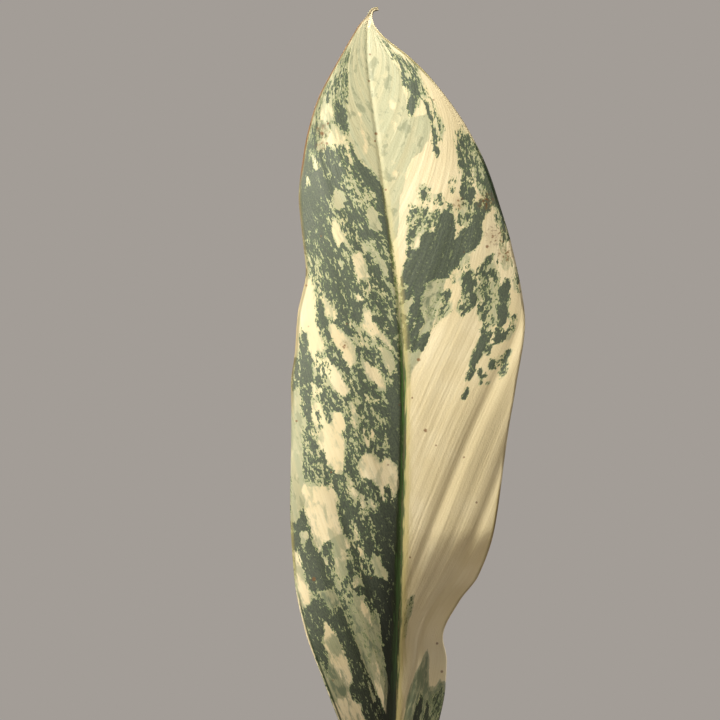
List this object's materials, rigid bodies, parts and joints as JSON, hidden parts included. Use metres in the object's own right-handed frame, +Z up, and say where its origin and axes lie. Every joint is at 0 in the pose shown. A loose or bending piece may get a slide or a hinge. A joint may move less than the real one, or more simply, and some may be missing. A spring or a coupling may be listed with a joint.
{
  "type": "potted philodendron",
  "caption": "Young variegated philodendron with an upright lance-shaped leaf, cream splashed with dark green, in a plain clay pot.",
  "frame": {"origin": "the centre of the pot's foot, on the surface that the pot stands on", "axes": "+Z is up along the pot's axis and the stem, the leaf's upper face looks along -Y, and +X is to the right of a viewer who looks at that face"},
  "size_m": [0.1158, 0.1158, 0.488],
  "materials": {
    "clay": "matte",
    "bark_mix": "matte",
    "stem_green": "satin",
    "stalk_green": "satin",
    "sheath": "satin",
    "leaf": "satin"
  },
  "bodies": {
    "root": {"pot": "clay", "potting_mix": "bark_mix", "stem": "stem_green", "petiole": "stalk_green", "bud_sheath": "sheath", "leaf_blade": "leaf"}
  },
  "joints": []
}
